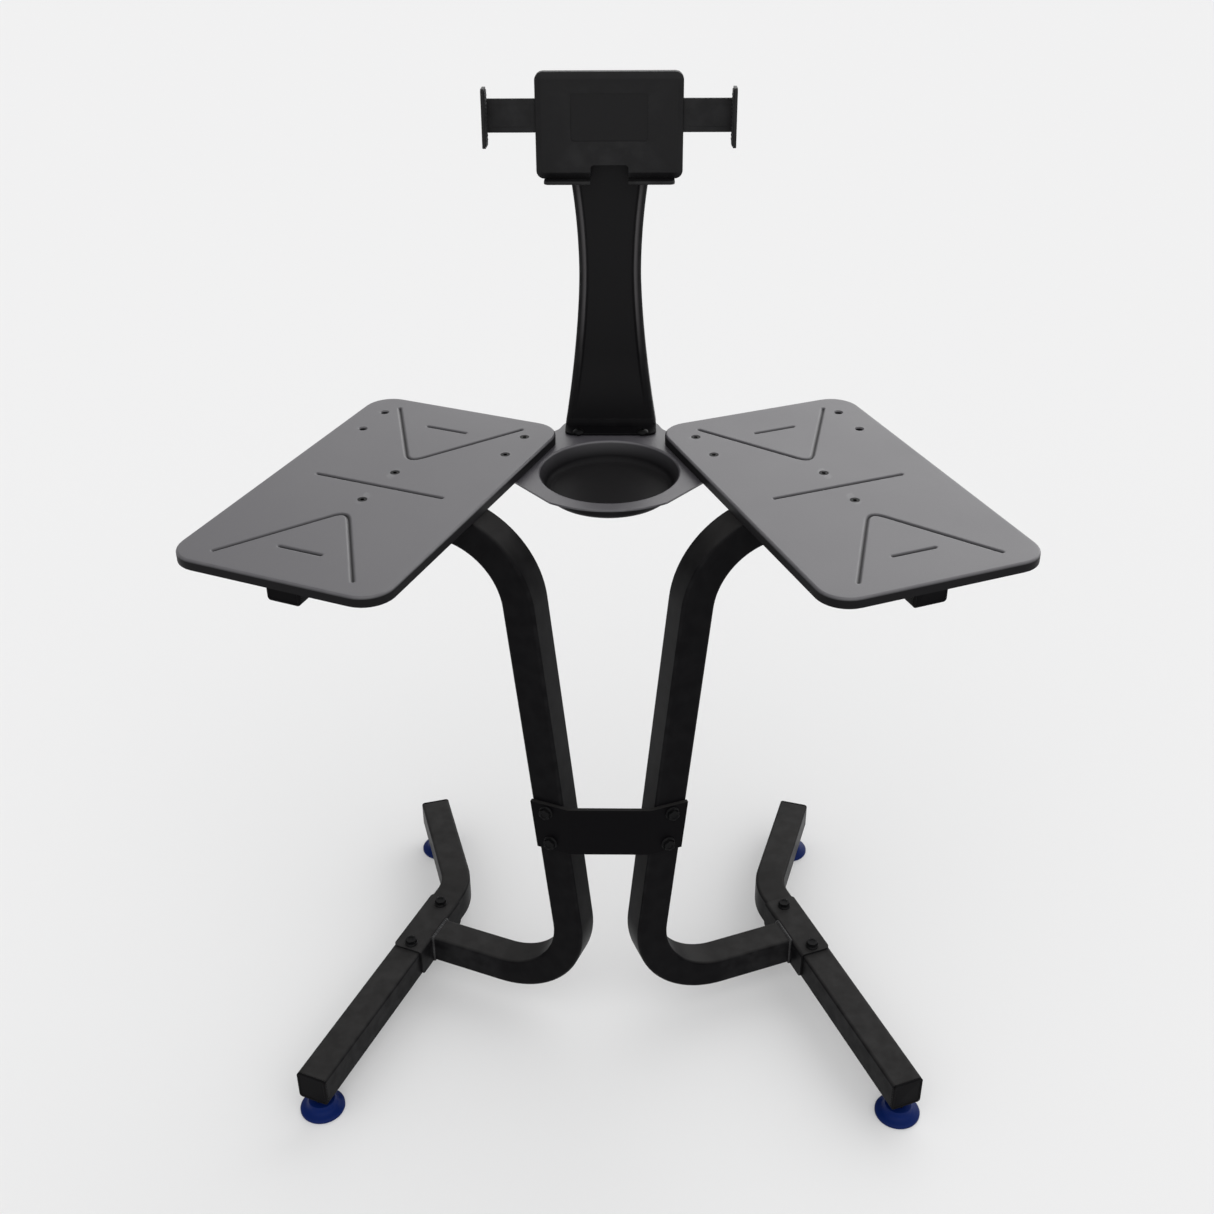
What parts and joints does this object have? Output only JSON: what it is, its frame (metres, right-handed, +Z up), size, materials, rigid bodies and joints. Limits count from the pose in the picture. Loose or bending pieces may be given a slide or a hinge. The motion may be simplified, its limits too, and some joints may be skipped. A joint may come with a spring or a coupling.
{
  "type": "adjustable dumbbell stand",
  "caption": "Floor stand with splayed flat trays for adjustable dumbbells on bent square-tube legs, a round utility dish, and a column with a sliding-jaw tablet holder.",
  "frame": {"origin": "on the floor, under the middle of the stand's bounding box", "axes": "+Z up, the front towards -Y, +X to the right as seen from the front"},
  "size_m": [0.9, 0.5486, 1.1349],
  "materials": {
    "black_steel": "satin black powder coat",
    "tray_steel": "satin grey-black powder coat with a fine texture",
    "black_plastic": "fine-textured matt black",
    "dark_hardware": "black oxide",
    "blue_rubber": "smooth blue",
    "black_rubber": "matt"
  },
  "bodies": {
    "root": {"column_back_cover": "black_plastic", "column_shell": "black_plastic", "crossbar": "black_steel", "dish_plate": "tray_steel", "holder_back_cover": "black_plastic", "holder_front_cover": "black_plastic", "left_beam_bolt_1": "dark_hardware", "left_beam_bolt_2": "dark_hardware", "left_beam_front_cap": "black_plastic", "left_beam_rear_cap": "black_plastic", "left_bracket_bolt_1": "dark_hardware", "left_bracket_bolt_2": "dark_hardware", "left_column_screw": "dark_hardware", "left_crossbar_bolt_1": "dark_hardware", "left_crossbar_bolt_2": "dark_hardware", "left_foot_bracket": "black_steel", "left_foot_front_cap": "black_plastic", "left_foot_rear_cap": "black_plastic", "left_foot_tube": "black_steel", "left_front_nut": "dark_hardware", "left_plate_bolt_1": "dark_hardware", "left_plate_bolt_2": "dark_hardware", "left_rear_nut": "dark_hardware", "left_support_beam": "black_steel", "left_tray": "tray_steel", "left_upright": "black_steel", "right_beam_bolt_1": "dark_hardware", "right_beam_bolt_2": "dark_hardware", "right_beam_front_cap": "black_plastic", "right_beam_rear_cap": "black_plastic", "right_bracket_bolt_1": "dark_hardware", "right_bracket_bolt_2": "dark_hardware", "right_column_screw": "dark_hardware", "right_crossbar_bolt_1": "dark_hardware", "right_crossbar_bolt_2": "dark_hardware", "right_foot_bracket": "black_steel", "right_foot_front_cap": "black_plastic", "right_foot_rear_cap": "black_plastic", "right_foot_tube": "black_steel", "right_front_nut": "dark_hardware", "right_plate_bolt_1": "dark_hardware", "right_plate_bolt_2": "dark_hardware", "right_rear_nut": "dark_hardware", "right_support_beam": "black_steel", "right_tray": "tray_steel", "right_upright": "black_steel"},
    "left_arm_body": {"left_tablet_arm": "black_plastic", "left_jaw_pad": "black_rubber"},
    "left_front_pad_body": {"left_front_pad": "blue_rubber"},
    "left_front_stud_body": {"left_front_stud": "dark_hardware"},
    "left_rear_pad_body": {"left_rear_pad": "blue_rubber"},
    "left_rear_stud_body": {"left_rear_stud": "dark_hardware"},
    "right_arm_body": {"right_tablet_arm": "black_plastic", "right_jaw_pad": "black_rubber"},
    "right_front_pad_body": {"right_front_pad": "blue_rubber"},
    "right_front_stud_body": {"right_front_stud": "dark_hardware"},
    "right_rear_pad_body": {"right_rear_pad": "blue_rubber"},
    "right_rear_stud_body": {"right_rear_stud": "dark_hardware"}
  },
  "joints": [
    {"name": "left_arm_slide", "type": "slide", "parent": "root", "child": "left_arm_body", "axis": [1, 0, 0], "range_m": [0, 0.05]},
    {"name": "left_front_foot_slide", "type": "slide", "parent": "root", "child": "left_front_pad_body", "axis": [0, 0, -1], "range_m": [0, 0.012]},
    {"name": "left_front_stud_turn", "type": "hinge", "parent": "left_front_pad_body", "child": "left_front_stud_body", "pos_m": [-0.35376, -0.24686, 0.04], "axis": [0, 0, -1], "range_deg": [0, 3457]},
    {"name": "left_rear_foot_slide", "type": "slide", "parent": "root", "child": "left_rear_pad_body", "axis": [0, 0, -1], "range_m": [0, 0.012]},
    {"name": "left_rear_stud_turn", "type": "hinge", "parent": "left_rear_pad_body", "child": "left_rear_stud_body", "pos_m": [-0.26096, 0.23989, 0.04], "axis": [0, 0, -1], "range_deg": [0, 3457]},
    {"name": "right_arm_slide", "type": "slide", "parent": "root", "child": "right_arm_body", "axis": [-1, 0, 0], "range_m": [0, 0.05]},
    {"name": "right_front_foot_slide", "type": "slide", "parent": "root", "child": "right_front_pad_body", "axis": [0, 0, -1], "range_m": [0, 0.012]},
    {"name": "right_front_stud_turn", "type": "hinge", "parent": "right_front_pad_body", "child": "right_front_stud_body", "pos_m": [0.35376, -0.24686, 0.04], "axis": [0, 0, -1], "range_deg": [0, 3457]},
    {"name": "right_rear_foot_slide", "type": "slide", "parent": "root", "child": "right_rear_pad_body", "axis": [0, 0, -1], "range_m": [0, 0.012]},
    {"name": "right_rear_stud_turn", "type": "hinge", "parent": "right_rear_pad_body", "child": "right_rear_stud_body", "pos_m": [0.26096, 0.23989, 0.04], "axis": [0, 0, -1], "range_deg": [0, 3457]}
  ],
  "couplings": [
    {"joint": "left_front_stud_turn", "follows": "left_front_foot_slide", "rad_per_m": 5026.5},
    {"joint": "left_rear_stud_turn", "follows": "left_rear_foot_slide", "rad_per_m": 5026.5},
    {"joint": "right_front_stud_turn", "follows": "right_front_foot_slide", "rad_per_m": 5026.5},
    {"joint": "right_rear_stud_turn", "follows": "right_rear_foot_slide", "rad_per_m": 5026.5}
  ]
}
